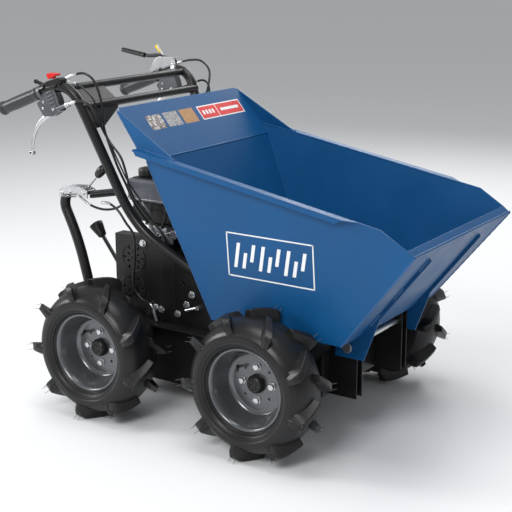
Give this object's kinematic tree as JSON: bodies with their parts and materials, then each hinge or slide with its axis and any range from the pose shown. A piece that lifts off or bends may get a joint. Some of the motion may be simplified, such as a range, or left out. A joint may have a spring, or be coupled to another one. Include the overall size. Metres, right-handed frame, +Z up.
{
  "type": "power wheelbarrow",
  "caption": "Four-wheel-drive powered wheelbarrow with a tipping steel hopper, a petrol engine on a sheet-metal chassis and two curved handles with levers.",
  "frame": {"origin": "on the ground, below the middle of the wheelbase", "axes": "+X to the dumping end, +Y to the operator's left, +Z up"},
  "size_m": [1.1742, 0.742, 0.8581],
  "materials": {
    "hopper_blue": "semi-gloss stoved paint",
    "frame_black": "satin powder coat",
    "engine_black": "matte moulded plastic",
    "tank_grey": "satin grey paint over moulded plastic",
    "cast_alloy": "as cast, lightly polished",
    "dark_alloy": "black painted casting",
    "zinc_steel": "bright zinc plate",
    "axle_steel": "oiled machined steel",
    "exhaust_steel": "heat-tinted steel",
    "rim_grey": "satin grey paint",
    "tyre_rubber": "moulded tread rubber",
    "grip_rubber": "smooth soft rubber",
    "cable_black": "extruded sheath",
    "control_grey": "moulded grey plastic",
    "control_black": "moulded black plastic",
    "signal_red": "glossy red moulding",
    "signal_yellow": "glossy yellow dip"
  },
  "bodies": {
    "chassis": {"belly_pan": "frame_black", "front_apron": "frame_black", "deck_plate": "frame_black", "pivot_posts": "frame_black", "pivot_pin": "zinc_steel", "axle_bearings": "axle_steel", "gearbox_case": "cast_alloy", "drive_chain": "axle_steel", "engine_block": "dark_alloy", "fan_shroud": "engine_black", "starter_grip": "control_black", "fuel_tank": "tank_grey", "air_filter": "engine_black", "muffler": "exhaust_steel", "carburettor": "cast_alloy", "drive_belt": "cable_black", "side_guard_right": "frame_black", "side_guard_left": "frame_black", "handle_right": "frame_black", "handle_left": "frame_black", "handle_bridge": "frame_black", "handle_grips": "grip_rubber", "lever_housings": "control_grey", "drive_lever_bracket": "zinc_steel", "throttle_housing": "control_black", "switch_housing": "control_black", "rear_post": "frame_black", "post_bracket": "zinc_steel", "rest_pads": "cable_black", "frame_bolts": "zinc_steel", "throttle_cable": "cable_black", "steering_cables": "cable_black", "drive_cable": "cable_black", "latch_cable": "cable_black", "kill_wire": "cable_black"},
    "front_axle": {"front_axle_shaft": "axle_steel", "front_rim_right": "rim_grey", "front_rim_left": "rim_grey", "front_tyre_right": "tyre_rubber", "front_tyre_left": "tyre_rubber", "front_wheel_bolts": "zinc_steel"},
    "rear_axle": {"rear_axle_shaft": "axle_steel", "rear_rim_right": "rim_grey", "rear_rim_left": "rim_grey", "rear_tyre_right": "tyre_rubber", "rear_tyre_left": "tyre_rubber", "rear_wheel_bolts": "zinc_steel"},
    "hopper": {"hopper_tub": "hopper_blue", "pivot_tabs": "hopper_blue"},
    "steer_right": {"steering_lever_right": "cast_alloy"},
    "steer_left": {"steering_lever_left": "cast_alloy"},
    "drive_control": {"drive_lever": "control_black"},
    "lock": {"lock_lever": "signal_yellow"},
    "throttle": {"throttle_lever": "control_black"},
    "kill_switch": {"kill_button": "signal_red"},
    "gear_shift": {"gear_lever": "frame_black"},
    "latch": {"latch_lever": "zinc_steel"},
    "tank_cap": {"fuel_cap": "engine_black"},
    "crank": {"engine_pulley": "axle_steel"},
    "gear_input": {"gearbox_pulley": "axle_steel"}
  },
  "joints": [
    {"name": "hopper_tip", "type": "hinge", "parent": "chassis", "child": "hopper", "pos_m": [0.369, 0, 0.237], "axis": [0, 1, 0], "range_deg": [0, 70]},
    {"name": "rear_wheels", "type": "hinge", "parent": "chassis", "child": "rear_axle", "pos_m": [-0.229, 0, 0.173], "axis": [0, 1, 0], "continuous": true},
    {"name": "front_wheels", "type": "hinge", "parent": "chassis", "child": "front_axle", "pos_m": [0.229, 0, 0.173], "axis": [0, 1, 0], "continuous": true},
    {"name": "crank_turn", "type": "hinge", "parent": "chassis", "child": "crank", "pos_m": [-0.19, 0, 0.325], "axis": [0, 1, 0], "continuous": true},
    {"name": "gear_input_turn", "type": "hinge", "parent": "chassis", "child": "gear_input", "pos_m": [-0.15, 0, 0.12], "axis": [0, 1, 0], "continuous": true},
    {"name": "steer_lever_right", "type": "hinge", "parent": "chassis", "child": "steer_right", "pos_m": [-0.39997, -0.24, 0.74061], "axis": [0, 1, 0], "range_deg": [0, 28], "stiffness_Nm_per_rad": 1.5, "springref_deg": -17.19},
    {"name": "steer_lever_left", "type": "hinge", "parent": "chassis", "child": "steer_left", "pos_m": [-0.39997, 0.24, 0.74061], "axis": [0, 1, 0], "range_deg": [0, 28], "stiffness_Nm_per_rad": 1.5, "springref_deg": -17.19},
    {"name": "drive_lever_pull", "type": "hinge", "parent": "chassis", "child": "drive_control", "pos_m": [-0.39892, 0.24, 0.8147], "axis": [0, -1, 0], "range_deg": [0, 22], "stiffness_Nm_per_rad": 2.5, "springref_deg": -17.19},
    {"name": "lock_lever_turn", "type": "hinge", "parent": "chassis", "child": "lock", "pos_m": [-0.4393, 0.24, 0.81985], "axis": [0, 1, 0], "range_deg": [0, 35]},
    {"name": "throttle_turn", "type": "hinge", "parent": "chassis", "child": "throttle", "pos_m": [-0.43836, -0.24, 0.78602], "axis": [0, 1, 0], "range_deg": [0, 60]},
    {"name": "kill_press", "type": "slide", "parent": "chassis", "child": "kill_switch", "axis": [0.3511, 0, -0.9363], "range_m": [0, 0.003], "stiffness_N_per_m": 900, "springref_m": -0.002},
    {"name": "gear_select", "type": "hinge", "parent": "chassis", "child": "gear_shift", "pos_m": [-0.245, -0.15, 0.28], "axis": [0, 1, 0], "range_deg": [-12, 12]},
    {"name": "latch_pull", "type": "hinge", "parent": "chassis", "child": "latch", "pos_m": [-0.39, -0.198, 0.529], "axis": [0, -1, 0], "range_deg": [0, 25], "stiffness_Nm_per_rad": 1, "springref_deg": -17.19},
    {"name": "fuel_cap_turn", "type": "hinge", "parent": "chassis", "child": "tank_cap", "pos_m": [-0.235, -0.09, 0.565], "axis": [0, 0, 1], "range_deg": [0, 90]}
  ],
  "couplings": [
    {"joint": "front_wheels", "follows": "rear_wheels", "ratio": 1},
    {"joint": "gear_input_turn", "follows": "crank_turn", "ratio": 0.77778}
  ]
}
